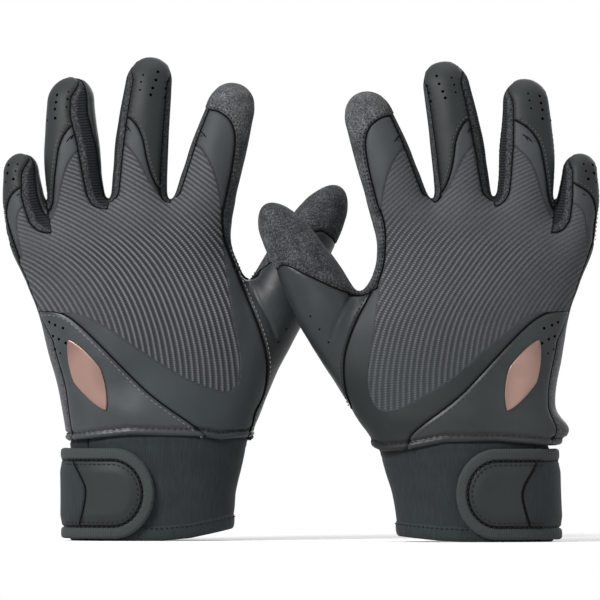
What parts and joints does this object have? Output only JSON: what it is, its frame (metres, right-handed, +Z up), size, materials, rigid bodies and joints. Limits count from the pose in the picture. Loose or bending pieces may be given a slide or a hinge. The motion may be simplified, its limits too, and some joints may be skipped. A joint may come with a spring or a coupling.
{
  "type": "batting glove",
  "caption": "Pair of padded batting gloves with ribbed backs, leather palms, finger side walls and knit cuffs closed by a wrist strap, standing on their cuffs.",
  "frame": {"origin": "on the floor plane, under the middle of the pair's bounding box", "axes": "+Z up along the fingers, +X to the right with the left glove at -X, -Y towards the viewer, who sees the backs of the hands; +Y is the palms' side"},
  "size_m": [0.268, 0.1004, 0.2176],
  "materials": {
    "ribbed_knit": "matte",
    "smooth_leather": "satin",
    "palm_leather": "satin",
    "tip_leather": "satin",
    "gusset_knit": "matte",
    "suede": "matte",
    "cuff_knit": "matte",
    "binding": "matte",
    "strap_leather": "satin",
    "hook_and_loop": "matte",
    "rose_film": "metallic satin"
  },
  "bodies": {
    "left_hand": {"left_palm_panel": "palm_leather", "left_heel_panel": "smooth_leather", "left_thumb_panel": "smooth_leather", "left_back_panel": "ribbed_knit", "left_emblem": "rose_film", "left_cuff_band": "cuff_knit", "left_cuff_hem": "binding", "left_loop_pad": "hook_and_loop", "left_strap_root": "cuff_knit"},
    "left_strap": {"left_strap_tab": "binding", "left_strap_patch": "strap_leather", "left_hook_pad": "hook_and_loop"},
    "left_little_finger": {"left_little_back": "ribbed_knit", "left_little_tip_panel": "tip_leather", "left_little_gusset": "gusset_knit", "left_little_front": "palm_leather"},
    "left_ring_finger": {"left_ring_back": "ribbed_knit", "left_ring_tip_panel": "tip_leather", "left_ring_gusset": "gusset_knit", "left_ring_front": "palm_leather"},
    "left_middle_finger": {"left_middle_back": "ribbed_knit", "left_middle_tip_panel": "tip_leather", "left_middle_gusset": "gusset_knit", "left_middle_front": "palm_leather"},
    "left_index_finger": {"left_index_back": "smooth_leather", "left_index_gusset": "suede", "left_index_front": "palm_leather"},
    "left_thumb": {"left_thumb_back": "suede", "left_thumb_gusset": "suede", "left_thumb_front": "palm_leather"},
    "right_hand": {"right_palm_panel": "palm_leather", "right_heel_panel": "smooth_leather", "right_thumb_panel": "smooth_leather", "right_back_panel": "ribbed_knit", "right_emblem": "rose_film", "right_cuff_band": "cuff_knit", "right_cuff_hem": "binding", "right_loop_pad": "hook_and_loop", "right_strap_root": "cuff_knit"},
    "right_strap": {"right_strap_tab": "binding", "right_strap_patch": "strap_leather", "right_hook_pad": "hook_and_loop"},
    "right_little_finger": {"right_little_back": "ribbed_knit", "right_little_tip_panel": "tip_leather", "right_little_gusset": "gusset_knit", "right_little_front": "palm_leather"},
    "right_ring_finger": {"right_ring_back": "ribbed_knit", "right_ring_tip_panel": "tip_leather", "right_ring_gusset": "gusset_knit", "right_ring_front": "palm_leather"},
    "right_middle_finger": {"right_middle_back": "ribbed_knit", "right_middle_tip_panel": "tip_leather", "right_middle_gusset": "gusset_knit", "right_middle_front": "palm_leather"},
    "right_index_finger": {"right_index_back": "smooth_leather", "right_index_gusset": "suede", "right_index_front": "palm_leather"},
    "right_thumb": {"right_thumb_back": "suede", "right_thumb_gusset": "suede", "right_thumb_front": "palm_leather"}
  },
  "joints": [
    {"name": "left_little_flex", "type": "hinge", "parent": "left_hand", "child": "left_little_finger", "pos_m": [-0.12263, 0.02995, 0.1365], "axis": [-0.994, 0, -0.1096], "range_deg": [0, 75]},
    {"name": "left_ring_flex", "type": "hinge", "parent": "left_hand", "child": "left_ring_finger", "pos_m": [-0.10063, 0.03195, 0.1485], "axis": [-0.9986, 0, -0.0528], "range_deg": [0, 75]},
    {"name": "left_middle_flex", "type": "hinge", "parent": "left_hand", "child": "left_middle_finger", "pos_m": [-0.07343, 0.03235, 0.1521], "axis": [-0.9955, 0, 0.0942], "range_deg": [0, 75]},
    {"name": "left_index_flex", "type": "hinge", "parent": "left_hand", "child": "left_index_finger", "pos_m": [-0.04473, 0.03235, 0.1503], "axis": [-0.9615, 0, 0.2749], "range_deg": [0, 75]},
    {"name": "left_thumb_flex", "type": "hinge", "parent": "left_hand", "child": "left_thumb", "pos_m": [-0.01112, 0.03914, 0.10729], "axis": [-0.8969, 0, 0.4423], "range_deg": [0, 30]},
    {"name": "left_strap_peel", "type": "hinge", "parent": "left_hand", "child": "left_strap", "pos_m": [-0.10893, 0.02315, 0.0214], "axis": [0, 0, -1], "range_deg": [0, 150]},
    {"name": "right_little_flex", "type": "hinge", "parent": "right_hand", "child": "right_little_finger", "pos_m": [0.12297, -0.01405, 0.1365], "axis": [-0.996, 0, 0.0898], "range_deg": [0, 75]},
    {"name": "right_ring_flex", "type": "hinge", "parent": "right_hand", "child": "right_ring_finger", "pos_m": [0.10077, -0.01205, 0.1485], "axis": [-1, 0, 0.0068], "range_deg": [0, 75]},
    {"name": "right_middle_flex", "type": "hinge", "parent": "right_hand", "child": "right_middle_finger", "pos_m": [0.07397, -0.01165, 0.1521], "axis": [-0.9872, 0, -0.1596], "range_deg": [0, 75]},
    {"name": "right_index_flex", "type": "hinge", "parent": "right_hand", "child": "right_index_finger", "pos_m": [0.04557, -0.01165, 0.1495], "axis": [-0.9448, 0, -0.3277], "range_deg": [0, 75]},
    {"name": "right_thumb_flex", "type": "hinge", "parent": "right_hand", "child": "right_thumb", "pos_m": [0.01341, -0.00466, 0.10357], "axis": [-0.8771, 0, -0.4804], "range_deg": [0, 30]},
    {"name": "right_strap_peel", "type": "hinge", "parent": "right_hand", "child": "right_strap", "pos_m": [0.11877, -0.02085, 0.0214], "axis": [0, 0, 1], "range_deg": [0, 150]},
    {"name": "right_glove_apart", "type": "slide", "parent": "left_hand", "child": "right_hand", "axis": [1, 0, 0], "range_m": [0, 0.12]}
  ]
}
